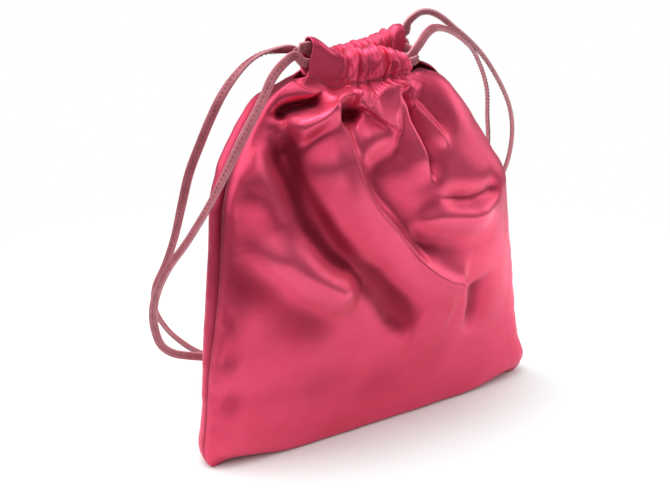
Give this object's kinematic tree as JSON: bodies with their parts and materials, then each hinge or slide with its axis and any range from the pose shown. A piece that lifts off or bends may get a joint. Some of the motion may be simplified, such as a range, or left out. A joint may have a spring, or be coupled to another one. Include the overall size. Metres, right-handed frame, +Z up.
{
  "type": "drawstring pouch",
  "caption": "Stuffed satin drawstring pouch standing on its base, with its mouth gathered by a flat stitched leather drawcord that comes out at each end.",
  "frame": {"origin": "centre of the pouch's base, on the surface it stands on", "axes": "+Z up through the mouth, +X to the pouch's right seam seen from the front, front panel towards -Y"},
  "size_m": [0.253, 0.1471, 0.2338],
  "materials": {
    "satin": "satin weave",
    "leather": "smooth strap with a stitched line",
    "thread": "twisted polyester"
  },
  "bodies": {
    "root": {"front_panel": "satin", "back_panel": "satin", "left_drawcord": "leather", "right_drawcord": "leather", "front_casing_stitching": "thread", "back_casing_stitching": "thread", "front_left_slit_stitching": "thread", "front_right_slit_stitching": "thread", "back_left_slit_stitching": "thread", "back_right_slit_stitching": "thread", "left_seam_stitching": "thread", "right_seam_stitching": "thread", "base_seam_stitching": "thread"}
  },
  "joints": []
}
